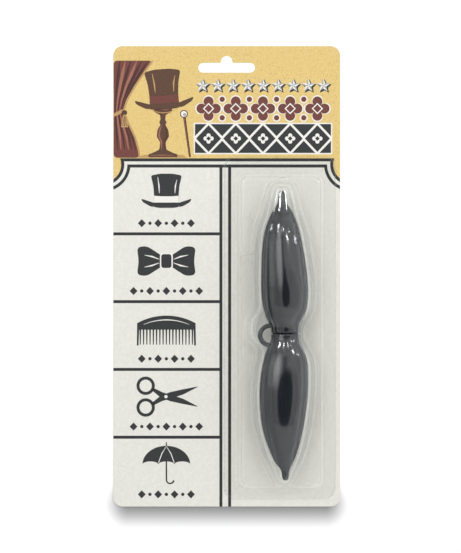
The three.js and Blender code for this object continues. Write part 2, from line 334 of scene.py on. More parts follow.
def card_finish():
    """Coated board: a speckled tan header, and a white panel with scalloped corners, ruled in black."""
    paint = paint_for("printed_board")
    where = paint.place()
    x, y, z = paint.parts(where)

    def from_scallop(middle):
        across, along = x - middle, y - SCALLOP_HEIGHT_MM
        return (across * across + along * along) ** 0.5 - SCALLOP_RADIUS_MM

    inside = (PANEL_TOP_MM - y).least(from_scallop(SCALLOP_LEFT_MM)).least(from_scallop(SCALLOP_RIGHT_MM))
    inner = FRAME_LINE_MM + FRAME_GAP_MM
    frame_width = inner + FRAME_LINE_MM
    lines = inside.band(0, FRAME_LINE_MM, EDGE_MM).most(inside.band(inner, frame_width, EDGE_MM))
    below = inside.rise(frame_width - FRAME_LINE_MM / 2, frame_width)
    for left in (COLUMN_LEFT_MM, COLUMN_RIGHT_MM):
        lines = lines.most(x.band(left, left + COLUMN_LINE_MM, EDGE_MM) * below)
    column = below * (1 - x.rise(COLUMN_LEFT_MM, COLUMN_LEFT_MM + COLUMN_LINE_MM))
    for k in range(1, CELLS):
        rule = CELL_TOP_MM - k * CELL_PITCH_MM
        lines = lines.most(y.band(rule, rule + COLUMN_LINE_MM, EDGE_MM) * column)

    fibre = paint.noise(where, 1.3, 5, 0.7)
    fleck = paint.noise(where, 0.9, 2).rise(0.56, 0.7) * 0.35
    fleck = fleck + paint.noise(where, 1.5, 1).rise(0.62, 0.7) * 0.75
    header = paint.mix(fibre.rise(0.3, 0.75), ink(226, 195, 119), ink(238, 212, 143))
    header = paint.mix(fleck, header, ink(196, 160, 96))
    sheet = paint.mix(paint.noise(where, 0.7, 4).rise(0.35, 0.75), ink(230, 229, 221), ink(237, 236, 229))
    panel = inside.rise(-EDGE_MM, EDGE_MM)
    colour = paint.mix(panel, header, sheet)
    worn = paint.noise(where, 1.1, 4).rise(0.62, 0.8) * 0.12
    colour = paint.mix(lines * (1 - worn), colour, BLACK_INK)
    printed = z.rise(CARD_TOP / MM - 0.05, CARD_TOP / MM - 0.01)
    board = paint.mix(fibre, ink(214, 211, 202), ink(228, 226, 219))
    colour = paint.mix(printed, board, colour)
    shader = paint.node("ShaderNodeBsdfPrincipled", {}, {
        "Base Color": colour,
        "Roughness": 0.5 + fibre * 0.15 - lines * 0.08,
        "Specular IOR Level": 0.3,
        "Normal": paint.bump(paint.noise(where, 2.2, 4, 0.6), PAPER_RELIEF),
    })
    return paint.finish(shader)


def ink_finish(name, first, second, gloss=0.42):
    """A solid printed ink: two close tones in a fine mottle, a little glossier than the board."""
    paint = paint_for(name)
    where = paint.place()
    mottle = paint.noise(where, 1.6, 4, 0.65)
    shader = paint.node("ShaderNodeBsdfPrincipled", {}, {
        "Base Color": paint.mix(mottle.rise(0.3, 0.7), first, second),
        "Roughness": gloss + mottle * 0.1,
        "Specular IOR Level": 0.3,
        "Normal": paint.bump(mottle, INK_RELIEF),
    })
    return paint.finish(shader)


# Making pieces


def piece(name, mesh, material, node=None, smooth=True):
    """Turns a mesh into an object that rides on the frame and may stand for a CAD node."""
    for face in mesh.faces:
        face.smooth = smooth
    data = bpy.data.meshes.new(name)
    mesh.to_mesh(data)
    mesh.free()
    data.materials.append(material)
    made = bpy.data.objects.new(name, data)
    bpy.context.scene.collection.objects.link(made)
    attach(made, "root")
    if node:
        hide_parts(node)
    return made


def subdivide(made, levels):
    finer = made.modifiers.new("finer", "SUBSURF")
    finer.levels = finer.render_levels = levels


def of_kind(made, kind, key="geom"):
    """The vertices, edges or faces in what an operator returned."""
    return [part for part in made[key] if isinstance(part, kind)]


# The moustache

LOBE_SIDES = 32
FULL_RING = 20  # the least points in a ring, which a stray row where the loop's socket is cut doesn't have
CREASE_SHARE = 0.8  # how large the inner ring is that keeps the crease crisp
CREST_POWER = {"upper_lobe": 1.8, "lower_lobe": 2.25}  # 2 is an ellipse, and less has a narrower crest


def lobe_rings(node):
    """The rings of a lobe's solid from low to high y: (middle, half width, half depth)."""
    rows = {}
    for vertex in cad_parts[node].data.vertices:
        place = (round(vertex.co.x, 6), round(vertex.co.z, 6))
        rows.setdefault(round(vertex.co.y, 5), set()).add(place)
    rings = []
    for y, points in sorted(rows.items()):
        if len(points) < FULL_RING:
            continue
        top = max(points, key=lambda point: point[1])
        bottom = min(points, key=lambda point: point[1])
        right = max(point[0] for point in points)
        middle = Vector((top[0], y, (top[1] + bottom[1]) / 2))
        rings.append((middle, right - top[0], (top[1] - bottom[1]) / 2))
    return rings


def ring_place(ring):
    middle, half, depth = ring
    turn = Matrix.Rotation(math.pi / 2, 4, "X")
    return Matrix.Translation(middle) @ turn @ Matrix.Diagonal((half, depth, 1, 1))


def lofted(rings, sides, power=2.0):
    """A closed body through rings that stand square to the y axis."""
    mesh = bmesh.new()
    bmesh.ops.create_circle(mesh, segments=sides, radius=1)
    for vertex in mesh.verts:
        for axis in (0, 1):
            share = vertex.co[axis]
            vertex.co[axis] = math.copysign(abs(share) ** (2 / power), share)
    bmesh.ops.transform(mesh, matrix=ring_place(rings[0]), verts=mesh.verts)
    edges = mesh.edges[:]
    for before, after in zip(rings, rings[1:]):
        grown = bmesh.ops.extrude_edge_only(mesh, edges=edges)
        step = ring_place(after) @ ring_place(before).inverted()
        bmesh.ops.transform(mesh, matrix=step, verts=of_kind(grown, bmesh.types.BMVert))
        edges = [edge for edge in of_kind(grown, bmesh.types.BMEdge) if edge.is_boundary]
    bmesh.ops.holes_fill(mesh, edges=mesh.edges, sides=0)
    bmesh.ops.recalc_face_normals(mesh, faces=mesh.faces)
    return mesh


def make_lobe(node, finish):
    """A lobe of the moustache as a smooth closed body, with an inner ring that keeps the crease crisp."""
    rings = lobe_rings(node)
    crease_first = node == "upper_lobe"
    end = rings[0] if crease_first else rings[-1]
    inner = (end[0], end[1] * CREASE_SHARE, end[2] * CREASE_SHARE)
    rings = [inner, *rings] if crease_first else [*rings, inner]
    made = piece(node + "_body", lofted(rings, LOBE_SIDES, CREST_POWER[node]), finish, node)
    subdivide(made, 2)


LOOP_SIDES = 16
LOOP_BEND_STEPS = 16
LOOP_LEG_STEPS = 5
LOOP_FLARE = 1.32  # how much thicker a leg is where it runs into its lobe
FLARE_START = 0.25  # the share of the leg that comes before the flare


def make_loop(finish):
    """The nose loop: a leg, half a turn out to the left and the other leg, flared into the lobes."""
    radius = (loop_high.z - loop_low.z) / 2
    middle = (loop_low + loop_high) / 2
    bend = (loop_high.y - loop_low.y) / 2 - radius
    turn_x = loop_low.x + radius + bend
    leg = loop_high.x - turn_x
    mesh = bmesh.new()
    start = Matrix.Translation((loop_high.x, middle.y + bend, middle.z))
    start = start @ Matrix.Rotation(math.pi / 2, 4, "Y")
    bmesh.ops.create_circle(mesh, segments=LOOP_SIDES, radius=radius, matrix=start)
    edges = mesh.edges[:]

    def leg_out(edges, direction):
        for _ in range(LOOP_LEG_STEPS):
            grown = bmesh.ops.extrude_edge_only(mesh, edges=edges)
            verts = of_kind(grown, bmesh.types.BMVert)
            bmesh.ops.translate(mesh, vec=(direction * leg / LOOP_LEG_STEPS, 0, 0), verts=verts)
            edges = [edge for edge in of_kind(grown, bmesh.types.BMEdge) if edge.is_boundary]
        return edges

    edges = leg_out(edges, -1)
    spun = bmesh.ops.spin(
        mesh, geom=edges, cent=(turn_x, middle.y, middle.z), axis=UP, angle=math.pi,
        steps=LOOP_BEND_STEPS, use_merge=False, use_normal_flip=False,
    )
    leg_out(of_kind(spun, bmesh.types.BMEdge, "geom_last"), 1)
    bmesh.ops.holes_fill(mesh, edges=mesh.edges, sides=0)
    bmesh.ops.recalc_face_normals(mesh, faces=mesh.faces)
    for vertex in mesh.verts:
        share = (vertex.co.x - turn_x) / leg - FLARE_START
        if share > 0:
            line = Vector((vertex.co.x, middle.y + math.copysign(bend, vertex.co.y - middle.y), middle.z))
            flare = 1 + (LOOP_FLARE - 1) * min(1, share) ** 2
            vertex.co = line + (vertex.co - line) * flare
    made = piece("nose_loop_body", mesh, finish, "nose_loop")
    subdivide(made, 1)


# The clear film, laid over the outside of its solid row by row

FILM_THICKNESS = 0.34 * MM
FAR = 1.0  # where a ray starts, well outside the film
ROW_STEP = 1.0 * MM
LEAST_ROW_STEP = 0.12 * MM
END_INSET = 0.001 * MM  # how far the first and last rows stay inside the film's ends
SIDE_INSET = 0.01 * MM  # and the first and last columns inside its sides
CORNER_RADIUS = 7 * MM
CORNER_TURNS = (0, 15, 30, 45, 60, 75)  # degrees round the flange's corners, with a row at each
FLANGE_PROBE = 4 * MM  # how far in from its corner the flange's height is taken
TRAY_PROBE = (14 * MM, 8 * MM)  # and in from the film's side and the tray's end, the tray's height
TRAY_RISE = 0.05 * MM  # how far above the flange the tray's wall is met
POCKET_RISE = 0.3 * MM  # and above the tray, the pocket's
POCKET_END = 9 * MM  # how high the pocket's end walls are
LEAST_CROWN = 0.4 * MM
ARCH_REACH = 0.2  # how far out the rays start that meet the pocket's arch
WALL_SHARES = (0.06, 0.3, 0.6, 0.85, 0.97)  # heights on the tray's wall
END_SHARES = (0.03, 0.15, 0.35, 0.55, 0.75, 0.9)  # heights on the pocket's end walls
ARCH_STEPS = 34
FLANGE_STEPS = 4
TRAY_STEPS = 5
FILM_ROUNDING = 3


def filled(values):
    """Each missing value takes the nearest one that is there."""
    known = [k for k, value in enumerate(values) if value is not None]
    return [values[min(known, key=lambda j: abs(j - k))] for k in range(len(values))]


def between(start, end, steps):
    """Places at even steps between two others."""
    return [start + (end - start) * (step + 1) / (steps + 1) for step in range(steps)]


class FilmForm:
    """The outside of the blister's solid, as rays meet it, and where the film's rows lie on it."""

    def __init__(self):
        solid = bmesh.new()
        solid.from_mesh(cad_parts["blister"].data)
        self.tree = BVHTree.FromBMesh(solid)
        solid.free()
        self.middle_x = ((film_low + film_high) / 2).x
        lobe_low, lobe_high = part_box("upper_lobe")
        self.axis_x = lobe_high.x / 2 + lobe_low.x / 2
        self.flange = self.above(film_high.x - FLANGE_PROBE, film_high.y - FLANGE_PROBE)
        tray_end = self.hit((self.middle_x, FAR, self.flange + TRAY_RISE), (0, -1, 0)).y
        self.tray = self.above(film_high.x - TRAY_PROBE[0], tray_end - TRAY_PROBE[1])
        self.pocket_foot = self.tray + POCKET_RISE
        self.walls = [self.flange + share * (self.tray - self.flange) for share in WALL_SHARES]
        self.rows = self.row_places()

    def hit(self, start, direction):
        """The first point of the solid that a ray meets, or None."""
        return self.tree.ray_cast(Vector(start), Vector(direction))[0]

    def above(self, x, y):
        """The solid's height at a place, or None beside it."""
        point = self.hit((x, y, FAR), -UP)
        return point.z if point else None

    def ground(self, x, y, low, high):
        """The point of the film at a place, kept inside its row's two ends."""
        x = min(max(x, low + SIDE_INSET), high - SIDE_INSET)
        return Vector((x, y, self.above(x, y) or self.flange))

    def row_places(self):
        """Where the rows lie: at steps round the corners and up the end walls, and evenly between those."""
        ends = []
        for edge, inward in ((film_low.y, 1), (film_high.y, -1)):
            away, towards = -inward * FAR, (0, inward, 0)
            corner = [CORNER_RADIUS * (1 - math.cos(math.radians(turn))) for turn in CORNER_TURNS]
            ends += [edge + inward * inset for inset in corner]
            ends += [self.hit((self.middle_x, away, height), towards).y for height in self.walls]
            for share in END_SHARES:
                point = self.hit((self.axis_x, away, self.pocket_foot + share * POCKET_END), towards)
                if point:
                    ends.append(point.y)
        ends.sort()
        rows = [ends[0] + END_INSET]
        for y in ends[1:]:
            gap = y - rows[-1]
            steps = max(1, round(gap / ROW_STEP))
            if gap > LEAST_ROW_STEP:
                rows += [rows[-1] + gap * (k + 1) / steps for k in range(steps)]
        rows[-1] = ends[-1] - END_INSET
        return rows

    def side_line(self, height, side):
        """Where the outside is at this height in each row, from the left (-1) or the right (1)."""
        points = [self.hit((side * FAR, y, height), (-side, 0, 0)) for y in self.rows]
        return filled([point.x if point else None for point in points])

    def arches(self):
        """The pocket's arch over each row, and the first and last rows that the pocket is in."""
        left, right = self.side_line(self.pocket_foot, -1), self.side_line(self.pocket_foot, 1)
        ends = [self.hit((self.axis_x, side * FAR, self.pocket_foot), (0, -side, 0)).y for side in (-1, 1)]
        inside = [k for k, y in enumerate(self.rows) if ends[0] < y < ends[1]]
        first, last = inside[0], inside[-1]
        arches = []
        for k, y in enumerate(self.rows):
            j = min(max(k, first), last)
            half = (right[j] - left[j]) / 2
            centre = Vector(((right[j] + left[j]) / 2, self.rows[j], self.pocket_foot))
            crown = max(self.above(centre.x, self.rows[j]) - self.pocket_foot, LEAST_CROWN)
            arch = []
            for step in range(ARCH_STEPS + 1):
                angle = math.pi * (1 - step / ARCH_STEPS)
                out = Vector((half * math.cos(angle), 0, crown * math.sin(angle))).normalized()
                point = self.hit(centre + out * ARCH_REACH, -out)
                if point is None:
                    point = centre + Vector((half * math.cos(angle), 0, 0))
                arch.append(Vector((point.x, y, point.z if j == k else 0)))
            arches.append(arch)
        return arches, first, last


def film_rows():
    """Where the film's columns cross its rows, as a list of rows of points."""
    form = FilmForm()
    edge_height = (film_low.z + form.flange) / 2
    edges = list(zip(form.side_line(edge_height, -1), form.side_line(edge_height, 1)))
    left_walls, right_walls = ([form.side_line(height, side) for height in form.walls] for side in (-1, 1))
    arches, first, last = form.arches()
    table = []
    for k, (y, (low, high), arch) in enumerate(zip(form.rows, edges, arches)):
        left_wall = sorted(line[k] for line in left_walls)
        right_wall = sorted(line[k] for line in right_walls)
        left = [low, *between(low, left_wall[0], FLANGE_STEPS), *left_wall]
        left += between(left_wall[-1], arch[0].x, TRAY_STEPS)
        right = between(arch[-1].x, right_wall[0], TRAY_STEPS) + right_wall
        right += [*between(right_wall[-1], high, FLANGE_STEPS), high]
        points = [form.ground(x, y, low, high) for x in left]
        points += arch if first <= k <= last else [form.ground(point.x, y, low, high) for point in arch]
        points += [form.ground(x, y, low, high) for x in right]
        table.append(points)
    return table


def make_film(finish):
    """The formed film as one smooth sheet with a thin wall."""
    table = film_rows()
    columns, rows = len(table[0]), len(table)
    mesh = bmesh.new()
    bmesh.ops.create_grid(mesh, x_segments=columns - 1, y_segments=rows - 1, size=1)
    order = sorted(mesh.verts, key=lambda vertex: (round(vertex.co.y, 5), vertex.co.x))
    for vertex, point in zip(order, (point for row in table for point in row)):
        vertex.co = point
    inner = [vertex for vertex in mesh.verts if not vertex.is_boundary]
    for _ in range(FILM_ROUNDING):
        bmesh.ops.smooth_vert(
            mesh, verts=inner, factor=0.4, use_axis_x=True, use_axis_y=True, use_axis_z=True,
        )
    bmesh.ops.recalc_face_normals(mesh, faces=mesh.faces)
    if sum(face.normal.z for face in mesh.faces) < 0:
        bmesh.ops.reverse_faces(mesh, faces=mesh.faces)
    made = piece("formed_film", mesh, finish, "blister")
    wall = made.modifiers.new("wall", "SOLIDIFY")
    wall.thickness = FILM_THICKNESS
    wall.offset = -1


# The artwork of the print: thin plates of ink on the board, drawn in millimetres

INK_LAYER = 0.012 * MM
CORNER_STEPS = 4
INKS = {
    "charcoal": (ink(40, 42, 43), ink(54, 57, 58)),
    "silver": (ink(150, 150, 148), ink(184, 184, 180)),
    "white": (ink(238, 235, 228), ink(247, 245, 240)),
    "oxblood": (ink(106, 56, 50), ink(122, 70, 62)),
    "rose": (ink(150, 92, 78), ink(176, 118, 98)),
    "wine": (ink(66, 35, 32), ink(84, 46, 41)),
    "brown": (ink(78, 52, 40), ink(104, 72, 52)),
    "fawn": (ink(182, 138, 86), ink(206, 168, 112)),
}
sheets = {name: bmesh.new() for name in INKS}


class Drawing:
    """A motif drawn about its own middle, and pressed on the card in plates of ink."""

    def __init__(self, x, y, size=1.0, turn=0):
        shift = Matrix.Translation((x * MM, y * MM, CARD_TOP))
        self.place = shift @ Matrix.Rotation(math.radians(turn), 4, "Z") @ Matrix.Scale(size * MM, 4)

    def press(self, shape, ink_name, layer):
        """Gives a flat shape its thin wall, up to a layer, and adds it to the sheet of its ink."""
        bmesh.ops.transform(shape, matrix=self.place, verts=shape.verts)
        grown = bmesh.ops.extrude_face_region(shape, geom=shape.faces[:])
        bmesh.ops.translate(shape, vec=UP * layer * INK_LAYER, verts=of_kind(grown, bmesh.types.BMVert))
        bmesh.ops.recalc_face_normals(shape, faces=shape.faces)
        plate = bpy.data.meshes.new("plate")
        shape.to_mesh(plate)
        shape.free()
        sheets[ink_name].from_mesh(plate)
        bpy.data.meshes.remove(plate)

    def shape(self, ink_name, points, layer=1, rounding=0):
        """A plate from the corners of its outline, which may be rounded off."""
        flat = bmesh.new()
        corners = [flat.verts.new((x, y, 0)) for x, y in points]
        flat.faces.new(corners)
        if rounding:
            bmesh.ops.bevel(
                flat, geom=corners, offset=rounding, offset_type="OFFSET", affect="VERTICES",
                segments=CORNER_STEPS, profile=0.5, clamp_overlap=True, material=-1,
            )
        self.press(flat, ink_name, layer)

    def disc(self, ink_name, x, y, radius, layer=1, steps=24):
        flat = bmesh.new()
        place = Matrix.Translation((x, y, 0))
        bmesh.ops.create_circle(flat, cap_ends=True, segments=steps, radius=radius, matrix=place)
        self.press(flat, ink_name, layer)

    def ring(self, ink_name, x, y, radius, width, layer=1, steps=28):
        flat = bmesh.new()
        bmesh.ops.create_circle(flat, segments=steps, radius=radius)
        grown = bmesh.ops.extrude_edge_only(flat, edges=flat.edges[:])
        narrower = 1 - width / radius
        bmesh.ops.scale(flat, vec=(narrower, narrower, 1), verts=of_kind(grown, bmesh.types.BMVert))
        bmesh.ops.translate(flat, vec=(x, y, 0), verts=flat.verts)
        self.press(flat, ink_name, layer)


def mirrored(right):
    """A whole outline from its right half, which runs from the foot up."""
    return right + [(-x, y) for x, y in reversed(right)]


def arc(x, y, radius, start, end, steps=12, squash=1.0):
    """Points along part of an ellipse, from one direction in degrees to another."""
    turns = [math.radians(start + (end - start) * k / steps) for k in range(steps + 1)]
    return [(x + radius * math.cos(turn), y + radius * squash * math.sin(turn)) for turn in turns]


def stroke(path, *widths):
    """The outline of a pen line along a path, whose width goes through these values."""
    left, right = [], []
    last = len(path) - 1
    for k, (x, y) in enumerate(path):
        ahead, behind = path[min(k + 1, last)], path[max(k - 1, 0)]
        way = Vector((ahead[0] - behind[0], ahead[1] - behind[1])).normalized()
        share = k / last * (len(widths) - 1)
        step = min(int(share), len(widths) - 2)
        half = (widths[step] + (widths[step + 1] - widths[step]) * (share - step)) / 2
        left.append((x - way.y * half, y + way.x * half))
        right.append((x + way.y * half, y - way.x * half))
    return right + left[::-1]


def lozenge(width, height):
    return [(0, -height / 2), (width / 2, 0), (0, height / 2), (-width / 2, 0)]


def star(radius, hollow=0.42, arms=5):
    """A star's corners in turn, tips and hollows, from its top tip."""
    turns = [math.radians(90 + 180 / arms * k) for k in range(2 * arms)]
    reach = [radius * (hollow if k % 2 else 1) for k in range(2 * arms)]
    return [(far * math.cos(turn), far * math.sin(turn)) for far, turn in zip(reach, turns)]


def quatrefoil(radius):
    """Four round lobes that meet on the diagonals."""
    out = radius / (1 + math.sqrt(0.5))
    points = []
    for turn in (0, 90, 180, 270):
        middle = math.radians(turn)
        lobe = arc(out * math.cos(middle), out * math.sin(middle), radius - out, turn - 135, turn + 135, 14)
        points += lobe[:-1]
    return points


# The bands of ornament on the header: left end, width, and each band's middle and height
BAND_LEFT_MM, BAND_WIDTH_MM = -17.8, 76.3
STARS = {"middle": 107.0, "radius": 4.3, "count": 9}
FOILS = {"middle": 94.1, "radius": 7.2, "count": 5}
DIAMONDS = {"middle": 77.3, "height": 16.2, "count": 5}
SHADOW_MM = 0.6
OUTLINE_MM = 0.75


def band_places(band):
    """The middles of a band's motifs, and how far apart they are."""
    pitch = BAND_WIDTH_MM / band["count"]
    return [BAND_LEFT_MM + pitch * (k + 0.5) for k in range(band["count"])], pitch


def print_stars():
    """A row of white stars, faceted in silver, with a dark drop shadow."""
    radius = STARS["radius"]
    for x in band_places(STARS)[0]:
        Drawing(x + SHADOW_MM, STARS["middle"] - SHADOW_MM).shape("charcoal", star(radius, 0.5))
        draw = Drawing(x, STARS["middle"])
        corners = star(radius * 0.94)
        draw.shape("white", corners, 2)
        for tip in range(0, len(corners), 2):
            draw.shape("silver", [(0, 0), corners[tip], corners[tip + 1]], 3)


def print_foils():
    """A row of oxblood quatrefoils with white outlines, and dots in the gaps."""
    places, pitch = band_places(FOILS)
    radius = FOILS["radius"]
    for x in places:
        draw = Drawing(x, FOILS["middle"])
        draw.shape("white", quatrefoil(radius + OUTLINE_MM / 2))
        draw.shape("oxblood", quatrefoil(radius - OUTLINE_MM / 2), 2)
        draw.shape("white", lozenge(6.4, 6.4), 3)
        draw.shape("oxblood", lozenge(4.6, 4.6), 4)
    for x in places[1:]:
        for side in (-1, 1):
            draw = Drawing(x - pitch / 2, FOILS["middle"] + side * radius * 0.72)
            draw.disc("white", 0, 0, 2.2)
            draw.disc("oxblood", 0, 0, 1.5, 2)


def print_diamonds():
    """A band of charcoal lozenges between half lozenges, parted and edged by white lines."""
    places, pitch = band_places(DIAMONDS)
    half = DIAMONDS["height"] / 2
    base = Drawing(BAND_LEFT_MM + BAND_WIDTH_MM / 2, DIAMONDS["middle"])
    wide = BAND_WIDTH_MM / 2 + OUTLINE_MM
    high = half + OUTLINE_MM
    base.shape("white", [(-wide, -high), (wide, -high), (wide, high), (-wide, high)], rounding=0.6)
    for x in places:
        draw = Drawing(x, DIAMONDS["middle"])
        draw.shape("charcoal", lozenge(pitch - 1.2, 2 * half - 1.2), 2)
        draw.shape("white", quatrefoil(2.9), 3)
        draw.shape("charcoal", lozenge(2.6, 2.6), 4)
    for k in range(DIAMONDS["count"] + 1):
        left = -pitch / 2 + 1.1 if k else 0
        right = pitch / 2 - 1.1 if k < DIAMONDS["count"] else 0
        for side in (-1, 1):
            draw = Drawing(BAND_LEFT_MM + k * pitch, DIAMONDS["middle"])
            draw.shape("charcoal", [(left, side * half), (right, side * half), (0, side * 1.3)], 2)


HEADER_FOOT_MM = PANEL_TOP_MM + 0.3
CURTAIN_TOP_MM = 121.0
CURTAIN_LEFT_MM = card_low.x / MM + 0.15
# The curtain's free edge from the top down: (height, place)
DRAPE = [
    (CURTAIN_TOP_MM, -41.5), (115, -45.8), (107, -51.2), (99, -55.8), (93, -57.8),
    (86, -55.2), (78, -51.4), (71, -49.4), (HEADER_FOOT_MM, -48.8),
]
# Its folds: (share of the way to the free edge, ink)
CURTAIN_FOLDS = [(0.16, "wine"), (0.3, "rose"), (0.44, "wine"), (0.6, "rose"), (0.72, "wine"), (0.88, "wine")]


def print_curtain():
    """A draped curtain, drawn aside by a cord with a tassel, with a fringed edge."""
    draw = Drawing(0, 0)

    def line(path, *widths):
        return [(max(x, CURTAIN_LEFT_MM), y) for x, y in stroke(path, *widths)]

    edge = [(x, y) for y, x in DRAPE]
    corners = [(CURTAIN_LEFT_MM, CURTAIN_TOP_MM), *edge, (CURTAIN_LEFT_MM, HEADER_FOOT_MM)]
    draw.shape("oxblood", corners, rounding=2.2)
    for share, name in CURTAIN_FOLDS:
        fold = [(CURTAIN_LEFT_MM + (x - CURTAIN_LEFT_MM) * share, y) for x, y in edge[:-1]]
        draw.shape(name, line(fold, 0.3, 2.2, 0.9, 0.4, 1.5, 0.4), 2)
    draw.shape("fawn", stroke(edge, 1.0, 1.1, 1.0), 3)
    tie = (edge[4][0] - 0.4, edge[4][1])
    draw.shape("fawn", line([(CURTAIN_LEFT_MM, tie[1] - 2.6), (tie[0] - 3, tie[1] - 1.6), tie], 2.0, 1.7), 4)
    tassel = Drawing(tie[0] + 0.9, tie[1] - 1.2)
    tassel.disc("brown", 0, 0, 1.5, 4)
    tassel.shape("fawn", mirrored([(2.0, -8.2), (0.9, -1.2)]), 5, rounding=0.4)
    for x in (-1, 0, 1):
        tassel.shape("brown", stroke([(x * 0.35, -2), (x, -7.6)], 0.2, 0.35), 6)


def print_top_hat(draw, felt, ribbon, sheen):
    """A tall hat with a curled brim."""
    draw.shape(felt, mirrored([(7.0, -6.2), (6.9, -1), (7.3, 4), (8.7, 10), (3.5, 11)]), 1, rounding=1.1)
    brim = [(4, -8.2), (9, -7.4), (13.4, -4.9), (14.2, -3.0), (11.4, -3.9), (7.2, -5.3), (3, -5.9)]
    draw.shape(felt, mirrored(brim), 3, rounding=0.9)
    draw.shape(ribbon, mirrored([(6.9, -5.2), (6.85, -1.4), (3, -1.7)]), 2)
    for x, high in ((-4.6, 9.2), (5.6, 7.6)):
        draw.shape(sheen, stroke([(x * 0.86, 0), (x * 0.9, 4), (x * 1.05, high)], 0.25, 0.75, 0.2), 2)
    draw.shape(sheen, stroke(arc(0, 2.2, 12, 232, 308, 14), 0.15, 0.45, 0.15), 4)


STAND_MM = -35.8


def print_hat_stand():
    """A turned stand with a tall hat on it, and a cane that leans beside it."""
    draw = Drawing(STAND_MM, HEADER_FOOT_MM)
    draw.shape("fawn", mirrored([(5, 0), (13.5, 0), (11.5, 1.5), (5, 2.1)]), rounding=0.5)
    post = [
        (8.2, 0.3), (8.2, 1.9), (5.4, 2.9), (2.0, 4.6), (1.5, 8.5), (3.5, 12), (3.0, 15.8), (1.3, 18.6),
        (2.2, 19.9), (1.3, 21.2), (1.6, 24), (5.2, 26), (5.0, 27.8),
    ]
    draw.shape("brown", mirrored(post), 2, rounding=0.6)
    for x in (-1, 1):
        line = [(0.9 * x, 4.6), (0.7 * x, 8.6), (2.2 * x, 12.2), (1.7 * x, 15.8), (0.6 * x, 18.4)]
        draw.shape("rose" if x < 0 else "wine", stroke(line, 0.2, 0.7, 0.9, 0.6, 0.2), 3)
    draw.shape("rose", stroke([(-7.4, 1.3), (0, 1.5), (6, 1.3)], 0.2, 0.5, 0.2), 3)
    draw.shape("rose", stroke([(-4.4, 26.9), (0, 27.1), (3, 26.9)], 0.2, 0.5, 0.2), 3)
    print_top_hat(Drawing(STAND_MM + 0.4, HEADER_FOOT_MM + 36.8, 1.18, 4), "brown", "oxblood", "fawn")
    foot, knob = (-20.6, HEADER_FOOT_MM + 0.4), (-24.0, HEADER_FOOT_MM + 24.6)
    cane = Drawing(0, 0)
    cane.shape("wine", stroke([foot, knob], 1.1, 1.5), 2)
    cane.shape("rose", stroke([(foot[0] - 0.1, foot[1]), (knob[0] - 0.2, knob[1])], 0.2, 0.4), 3)
    cane.disc("wine", *knob, 2.2, 4)
    cane.disc("white", *knob, 1.7, 5)
    cane.disc("silver", knob[0] + 0.4, knob[1] - 0.4, 0.9, 6)


def print_bow_tie(draw):
    """A bow tie with folds at its knot."""
    for side in (-1, 1):
        wing = [(1.4, 2.0), (8.8, 6.8), (13.2, 6.2), (12.4, 0), (13.2, -6.2), (8.8, -6.8), (1.4, -2.0)]
        draw.shape("charcoal", [(side * x, y) for x, y in wing], rounding=1.7)
        for tilt in (-1, 1):
            fold = [(side * 3.2, tilt * 0.8), (side * 6.4, tilt * 2.0), (side * 9.8, tilt * 2.7)]
            draw.shape("white", stroke(fold, 0.2, 0.7, 0.15), 2)
    draw.shape("white", mirrored([(2.9, -3.6), (2.9, 3.6)]), 2, rounding=1.3)
    draw.shape("charcoal", mirrored([(2.3, -3.1), (2.3, 3.1)]), 3, rounding=1.1)


COMB_TEETH = 17
COMB_HALF = 13.7


def print_comb(draw):
    """A comb with a curved back and stout end teeth."""
    back = arc(0, -22, 28.2, 119, 61, 16)
    draw.shape("charcoal", [(COMB_HALF, -0.4), *reversed(back), (-COMB_HALF, -0.4)], 2)
    pitch = 2 * COMB_HALF / (COMB_TEETH + 1)
    for k in range(1, COMB_TEETH + 1):
        x = -COMB_HALF + pitch * k
        draw.shape("charcoal", [(x - 0.4, 0), (x - 0.22, -7.4), (x + 0.22, -7.4), (x + 0.4, 0)])
    end_tooth = ((12.7, 0), (13.0, -7.8), (13.8, -7.8), (COMB_HALF, 0))
    for side in (-1, 1):
        draw.shape("charcoal", [(side * x, y) for x, y in end_tooth])
    draw.shape("white", stroke(arc(0, -23, 27.2, 113, 67, 14), 0.15, 0.5, 0.15), 3)


def print_scissors(draw):
    """Open scissors with ring handles."""
    blade = [(-6.4, 3.5), (-2.6, 1.0), (2.2, -0.7), (8, -2.3), (15.2, -4.8)]
    for layer, side in ((1, 1), (2, -1)):
        draw.shape("charcoal", stroke([(x, side * y) for x, y in blade], 1.5, 2.6, 3.1, 2.5, 0.25), layer)
        draw.ring("charcoal", -10.1, side * 5.3, 4.5, 1.5, layer)
    draw.disc("white", -0.2, 0, 0.8, 3)


def print_umbrella(draw):
    """An open umbrella with a hooked handle."""
    canopy = arc(0, 0, 13.4, 0, 180, 24, 0.78)
    for k in (-1, 0, 1):
        canopy += arc(k * 8.93, 0, 4.47, 180, 0, 8, 0.38)[1:]
    draw.shape("charcoal", canopy[:-1], 2)
    for side in (-1, 1):
        draw.shape("white", stroke([(0, 10.2), (side * 2.6, 6), (side * 4.4, 0.9)], 0.15, 0.5, 0.4), 3)
    draw.shape("charcoal", stroke([(0, 9), (0, 12.6)], 1.0, 0.5), 1)
    draw.shape("charcoal", stroke([(0, 4), (0, -8.6), *arc(2.1, -8.6, 2.1, 180, 350, 10)], 0.8, 0.8, 1.0), 1)


MARK_PITCH_MM = 4.6


def print_marks(x, y, count):
    """A short row of lozenges and dots, under a motif."""
    for k in range(count):
        draw = Drawing(x + (k - (count - 1) / 2) * MARK_PITCH_MM, y)
        if k % 2:
            draw.disc("charcoal", 0, 0, 0.95, steps=16)
        else:
            draw.shape("charcoal", lozenge(4.4, 4.6))


def print_black_hat(draw):
    """A tall black hat with a white ribbon."""
    print_top_hat(draw, "charcoal", "white", "white")


MOTIF_UP_MM = 4.6
MARKS_DOWN_MM = 12.2
